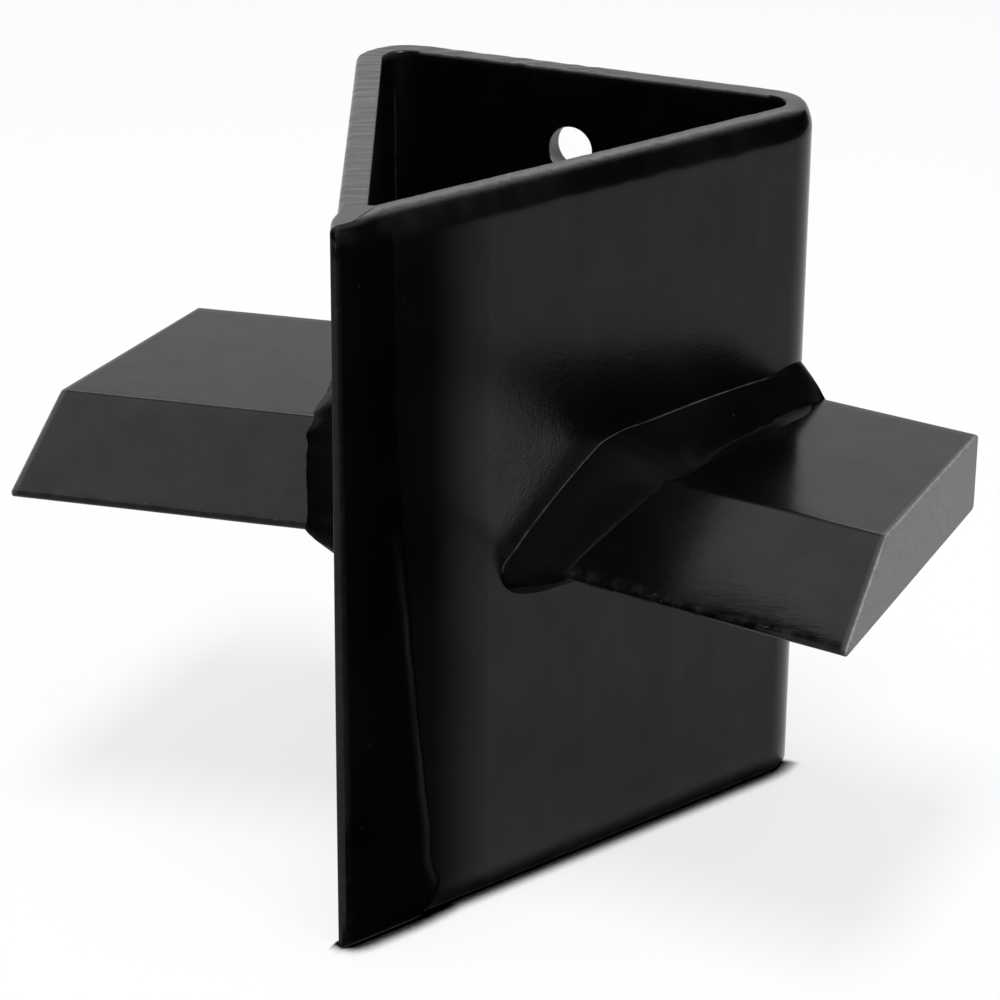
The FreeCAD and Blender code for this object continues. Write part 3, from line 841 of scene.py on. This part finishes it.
def weld_rings(side, seed):
    """Rings of the weld's section at every station round the root."""
    rows, times, starts = weld_loop(side)
    parts = np.concatenate([
        [0, 0.004, 0.012, 0.03, 0.06], np.linspace(0.1, 0.9, 14), [0.94, 0.97, 0.988, 0.996, 1],
    ])
    middle_reach = (EDGE_REACH + BACK_REACH) / 2
    rings = []
    for (along, height, reach, bar_height, out), time in zip(rows, times):
        lump = noise.noise(Vector((time / 7.0, seed, 0.0)))
        out = out + LUMPS[side] * lump
        toe = skin_point(side, along, TOE_SINK, height)
        # way into the bar: down from its top and bevel, up from its underside, none at its back
        inwards = 0.0
        if reach < BACK_REACH - 0.2:
            inwards = -1.0 if bar_height > WING_BOTTOM + 0.6 else 1.0
        steep_toe = bar_point(side, reach, out, bar_height + TOE_SINK * inwards)
        apron = smooth_step(reach, *APRON_GROWS) * (1 - smooth_step(reach, *APRON_FADES))
        apron = apron * APRON * (inwards < 0) * (side > 0)
        bar_toe = bar_point(side, reach, out + apron, bar_height + TOE_SINK * inwards)
        root_reach = reach + np.sign(middle_reach - reach) * ROOT_INSIDE
        root = bar_point(side, root_reach, -ROOT_UNDER, bar_height + ROOT_INSIDE * inwards)
        outwards = (toe + bar_toe) / 2 - root
        outwards /= np.linalg.norm(outwards)
        width = np.linalg.norm(bar_toe - toe)
        steep = np.minimum(parts / APRON_START, 1.0) * STEEP_SHARE
        shallow = np.maximum(parts - APRON_START, 0.0) / (1 - APRON_START)
        across = 2 * (steep + shallow * (1 - STEEP_SHARE)) - 1
        # soft crown, and a step at the plate's toe that fades out towards the bar
        crown = CROWN * width * (1 - across ** 2)
        lip = LIP * (1 - np.abs(across) ** 40) ** 0.5 * (1 - 0.9 * smooth_step(parts, 0.5, 1.0))
        depth = RIPPLE_DEPTH[0] if time <= starts[1] else RIPPLE_DEPTH[1]
        chevron = time / RIPPLE_PITCH + 0.9 * across ** 2 + 0.8 * lump
        ripples = depth * np.sin(2 * math.pi * chevron) * (1 - across ** 4)
        slow = 0.06 * noise.noise(Vector((time / 13.0, seed + 4.0, 0.0))) * (1 - across ** 2)
        chord = toe + np.outer(steep, steep_toe - toe)
        chord += np.outer(shallow, bar_toe - toe - STEEP_SHARE * (steep_toe - toe))
        surface = chord + np.outer(crown + lip + ripples + slow, outwards)
        rings.append(np.vstack([surface, root]))
    return np.array(rings), times, starts


def weld_painted_highlight(places):
    """Painted highlight line on the step where the weld meets the side plate."""
    along, out = side_place(places)
    line = (1 - smooth_step(out, 0.30, 0.50)) * (1 - smooth_step(along, 122.0, 132.0))
    return line * (places[:, 2] > WING_BOTTOM)


def weld_dull(places):
    """The left wing's weld is duller."""
    return 0.7 * (places[:, 0] < 0)


for hand_name, hand in (("right", 1), ("left", -1)):
    all_rings, all_times, run_starts = weld_rings(hand, 20.0 + hand)
    for number, run in enumerate(("upper", "back", "under")):
        first = np.searchsorted(all_times, run_starts[number])
        last = np.searchsorted(all_times, run_starts[number + 1])
        chosen = np.arange(first, last + 1) % len(all_times)
        weld = new_piece(f"{hand_name}_{run}_weld_painted", all_rings[chosen])
        finish_piece(weld, f"{hand_name}_{run}_weld", WELD_PAINT,
                     {"peel": all_of(0.05), "edge": weld_painted_highlight, "dull": weld_dull})

# ---------------------------------------------------------------- stage, light and camera

FLOOR_GLOW = 0.775
FLOOR_PAINT = 0.08
CONTACT_REACH = 7.5 * MM       # how far the contact shadow looks for something standing near
CONTACT_FADE = (0.665, 0.90)   # open share of that neighbourhood, from black to lit


def lit_floor_material():
    """Matt floor glowing near white, darker where something stands on it or hides the top light."""
    material = bpy.data.materials.new("pale_floor")
    material.use_nodes = True
    nodes = material.node_tree.nodes
    links = material.node_tree.links
    shader = nodes["Principled BSDF"]
    shader.inputs["Roughness"].default_value = 0.9
    shader.inputs["Specular IOR Level"].default_value = 0.0
    shader.inputs["Emission Color"].default_value = (1.0, 1.0, 1.0, 1.0)
    near = nodes.new("ShaderNodeAmbientOcclusion")
    near.inputs["Distance"].default_value = CONTACT_REACH
    near.samples = 8
    place = nodes.new("ShaderNodeTexCoord")
    # contact shadow along the right side only: it ends inside the sleeve, before the back corner
    # and left of the nose; each row has a direction, how far along it the shadow may lie, and
    # where it has gone
    outer_face = MID_DEPTH * SIN
    open_share = near.outputs["AO"]
    for direction, dark, light in (
        ((COS, -SIN, 0.0), outer_face - 0.5, outer_face - 3.0),
        ((0.0, 1.0, 0.0), 51.0, 62.0),
        ((1.0, 0.0, 0.0), -0.5, -3.0),
    ):
        distance = nodes.new("ShaderNodeVectorMath")
        distance.operation = "DOT_PRODUCT"
        distance.inputs[1].default_value = direction
        links.new(place.outputs["Object"], distance.inputs[0])
        lit_side = nodes.new("ShaderNodeMapRange")
        lit_side.inputs["From Min"].default_value = dark * MM
        lit_side.inputs["From Max"].default_value = light * MM
        links.new(distance.outputs["Value"], lit_side.inputs["Value"])
        larger = nodes.new("ShaderNodeMath")
        larger.operation = "MAXIMUM"
        links.new(open_share, larger.inputs[0])
        links.new(lit_side.outputs["Result"], larger.inputs[1])
        open_share = larger.outputs[0]
    for target, brightest in (("Emission Strength", FLOOR_GLOW), ("Base Color", FLOOR_PAINT)):
        fade = nodes.new("ShaderNodeMapRange")
        fade.interpolation_type = "SMOOTHSTEP"
        fade.inputs["From Min"].default_value = CONTACT_FADE[0]
        fade.inputs["From Max"].default_value = CONTACT_FADE[1]
        fade.inputs["To Max"].default_value = brightest
        links.new(open_share, fade.inputs["Value"])
        links.new(fade.outputs["Result"], shader.inputs[target])
    return material


def make_floor():
    half = 6.0
    corners = [(-half, -half, 0), (half, -half, 0), (half, half, 0), (-half, half, 0)]
    mesh = bpy.data.meshes.new("floor")
    mesh.from_pydata(corners, [], [(0, 1, 2, 3)])
    floor = bpy.data.objects.new("floor", mesh)
    bpy.context.scene.collection.objects.link(floor)
    mesh.materials.append(lit_floor_material())


def area_light(name, place, target, width, height, strength):
    """Rectangular lamp turned towards the target; metres and watts."""
    light = bpy.data.lights.new(name, "AREA")
    light.shape = "RECTANGLE"
    light.size = width
    light.size_y = height
    light.energy = strength
    lamp = bpy.data.objects.new(name, light)
    lamp.location = place
    lamp.rotation_euler = (Vector(target) - Vector(place)).to_track_quat("-Z", "Y").to_euler()
    bpy.context.scene.collection.objects.link(lamp)
    return lamp


def black_card():
    """Material that gives off no light and mirrors none."""
    material = bpy.data.materials.new("black_card")
    material.use_nodes = True
    nodes = material.node_tree.nodes
    nodes.clear()
    black = nodes.new("ShaderNodeEmission")
    black.inputs["Strength"].default_value = 0.0
    output = nodes.new("ShaderNodeOutputMaterial")
    material.node_tree.links.new(black.outputs[0], output.inputs["Surface"])
    return material


def only_reflected(card):
    """Hides a card from everything but mirrored rays."""
    card.visible_camera = False
    card.visible_diffuse = False
    card.visible_shadow = False
    card.visible_transmission = False
    card.visible_volume_scatter = False


def make_flag():
    """Black card with a foot, beside the nose, seen only in reflections: it keeps the nose black."""
    along, behind = 42.0, -10.0
    near, far = 0.3, 56.0
    low, high = 0.3, 178.0
    lean = 0.851                # how far a mirrored sight line runs along for each millimetre out
    fade_from, fade_to = -0.04, 0.34        # cover at which the card is clear and black
    places = [(along, near, low), (along, far, low), (along, far, high), (along, near, high),
              (behind, far, low), (behind, near, low)]
    corners = [side_point(1, *place) * MM for place in places]
    mesh = bpy.data.meshes.new("black_flag")
    mesh.from_pydata([tuple(corner) for corner in corners], [], [(0, 1, 2, 3), (0, 1, 4, 5)])
    layer = mesh.attributes.new("cover", "FLOAT", "POINT")
    cover = [((along - here) / lean + out - near) / (far - near) for here, out, _ in places]
    layer.data.foreach_set("value", cover)
    flag = bpy.data.objects.new("black_flag", mesh)
    bpy.context.scene.collection.objects.link(flag)
    material = black_card()
    nodes = material.node_tree.nodes
    links = material.node_tree.links
    covered = nodes.new("ShaderNodeAttribute")
    covered.attribute_name = "cover"
    fade = nodes.new("ShaderNodeMapRange")
    fade.inputs["From Min"].default_value = fade_from
    fade.inputs["From Max"].default_value = fade_to
    clear = nodes.new("ShaderNodeBsdfTransparent")
    black = nodes["Emission"]
    mixed = nodes.new("ShaderNodeMixShader")
    output = nodes["Material Output"]
    links.new(covered.outputs["Fac"], fade.inputs["Value"])
    links.new(fade.outputs["Result"], mixed.inputs[0])
    links.new(clear.outputs[0], mixed.inputs[1])
    links.new(black.outputs[0], mixed.inputs[2])
    links.new(mixed.outputs[0], output.inputs["Surface"])
    mesh.materials.append(material)
    only_reflected(flag)


def make_dark_walls():
    """Dark studio walls to the right and to the left, seen only in reflections off rims and welds."""
    radius, top = 2.2, 3.2
    for name, start, end in (("dark_wall_right", 3.0, 74.0), ("dark_wall_left", 165.0, 225.0)):
        angles = np.radians(np.linspace(start, end, 16))
        low = [(radius * math.cos(a), radius * math.sin(a), 0.02) for a in angles]
        high = [(radius * math.cos(a), radius * math.sin(a), top) for a in angles]
        count = len(angles)
        faces = [(j, j + 1, count + j + 1, count + j) for j in range(count - 1)]
        mesh = bpy.data.meshes.new(name)
        mesh.from_pydata(low + high, [], faces)
        wall = bpy.data.objects.new(name, mesh)
        bpy.context.scene.collection.objects.link(wall)
        mesh.materials.append(black_card())
        only_reflected(wall)


def make_world():
    world = bpy.data.worlds.new("studio")
    world.use_nodes = True
    background = world.node_tree.nodes["Background"]
    background.inputs["Color"].default_value = (1.0, 1.0, 1.0, 1.0)
    background.inputs["Strength"].default_value = 0.87
    bpy.context.scene.world = world


def make_camera():
    """Camera at the photo's viewing angle."""
    azimuth = math.radians(24.516)
    elevation = math.radians(22.543)
    roll = math.radians(0.374)
    place = Vector((301.52, -647.58, 379.37)) * MM
    backwards = Vector((
        math.sin(azimuth) * math.cos(elevation),
        -math.cos(azimuth) * math.cos(elevation),
        math.sin(elevation),
    ))
    level = Vector((math.cos(azimuth), math.sin(azimuth), 0.0))
    upright = backwards.cross(level)
    right = math.cos(roll) * level + math.sin(roll) * upright
    up = -math.sin(roll) * level + math.cos(roll) * upright
    lens = bpy.data.cameras.new("camera")
    lens.sensor_width = 36.0
    lens.lens = 119.12
    lens.clip_start = 0.01
    camera = bpy.data.objects.new("camera", lens)
    turned = Matrix((right, up, backwards)).transposed().to_4x4()
    camera.matrix_world = Matrix.Translation(place) @ turned
    bpy.context.scene.collection.objects.link(camera)
    bpy.context.scene.camera = camera


def make_lights():
    """Soft boxes; the shadow light isn't mirrored, and the reflector is seen only mirrored."""
    middle = (0.0, 0.0, 0.1)
    right_wing = (0.085, 0.01, 0.085)
    area_light("softbox_above", (-0.30, -0.15, 1.6), middle, 1.5, 1.5, 2.0)
    area_light("softbox_left", (-0.95, -0.15, 1.6), middle, 0.8, 1.0, 3.5)
    shadow_light = area_light("shadow_light", (0.0, -0.25, 2.0), (0.0, 0.0, 0.0), 0.45, 0.95, 72.0)
    shadow_light.visible_glossy = False
    area_light("key_right", (1.26, -0.57, 0.81), right_wing, 0.5, 0.5, 12.0)
    reflector = area_light("reflector_right", (1.28, -0.58, 0.82), right_wing, 0.8, 0.8, 36.0)
    reflector.visible_diffuse = False
    area_light("strip_behind", (-0.7, 1.3, 1.25), middle, 1.4, 0.35, 4.0)


make_floor()
make_flag()
make_dark_walls()
make_world()
make_lights()
make_camera()
bpy.context.scene.view_settings.view_transform = "Standard"
